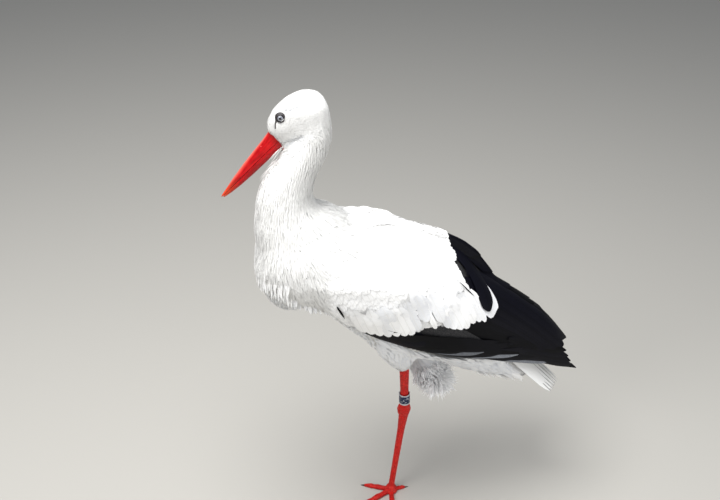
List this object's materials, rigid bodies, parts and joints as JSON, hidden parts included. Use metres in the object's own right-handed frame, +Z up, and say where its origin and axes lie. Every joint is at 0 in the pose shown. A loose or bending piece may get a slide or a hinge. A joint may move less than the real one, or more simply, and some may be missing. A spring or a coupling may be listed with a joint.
{
  "type": "white stork model",
  "caption": "Life-size still model of a white stork at rest on its left leg, right leg tucked up, bill lowered, wings folded.",
  "frame": {"origin": "middle of the flat underside of the ball of the standing left foot", "axes": "+Z up, -X the way the bird faces, -Y the bird's left side"},
  "size_m": [0.6959, 0.2194, 0.9231],
  "materials": {
    "plumage_white": "soft matt feathers",
    "plumage_black": "feathers with a faint blue gloss",
    "bill_horn": "smooth red horn",
    "leg_skin": "red scaly skin",
    "claw_horn": "dark horn",
    "eye_glass": "wet dark eye",
    "ring_metal": "worn plain metal ring"
  },
  "bodies": {
    "root": {"bill_lower": "bill_horn", "bill_upper": "bill_horn", "claw_hind_left": "claw_horn", "claw_hind_right": "claw_horn", "claw_inner_left": "claw_horn", "claw_inner_right": "claw_horn", "claw_middle_left": "claw_horn", "claw_middle_right": "claw_horn", "claw_outer_left": "claw_horn", "claw_outer_right": "claw_horn", "eye_left": "eye_glass", "eye_right": "eye_glass", "foot_left": "leg_skin", "foot_right": "leg_skin", "head": "plumage_white", "heel_left": "leg_skin", "leg_ring": "ring_metal", "neck_lower": "plumage_white", "neck_upper": "plumage_white", "tail": "plumage_white", "tarsus_left": "leg_skin", "tarsus_right": "leg_skin", "thigh_left": "plumage_white", "thigh_right": "plumage_white", "tibia_left": "leg_skin", "toe_hind_left": "leg_skin", "toe_hind_right": "leg_skin", "toe_inner_left": "leg_skin", "toe_inner_right": "leg_skin", "toe_middle_left": "leg_skin", "toe_middle_right": "leg_skin", "toe_outer_left": "leg_skin", "toe_outer_right": "leg_skin", "trunk": "plumage_white", "wing_left_coverts": "plumage_white", "wing_left_primaries": "plumage_black", "wing_left_secondaries": "plumage_black", "wing_left_tertials": "plumage_black", "wing_right_coverts": "plumage_white", "wing_right_primaries": "plumage_black", "wing_right_secondaries": "plumage_black", "wing_right_tertials": "plumage_black"}
  },
  "joints": []
}
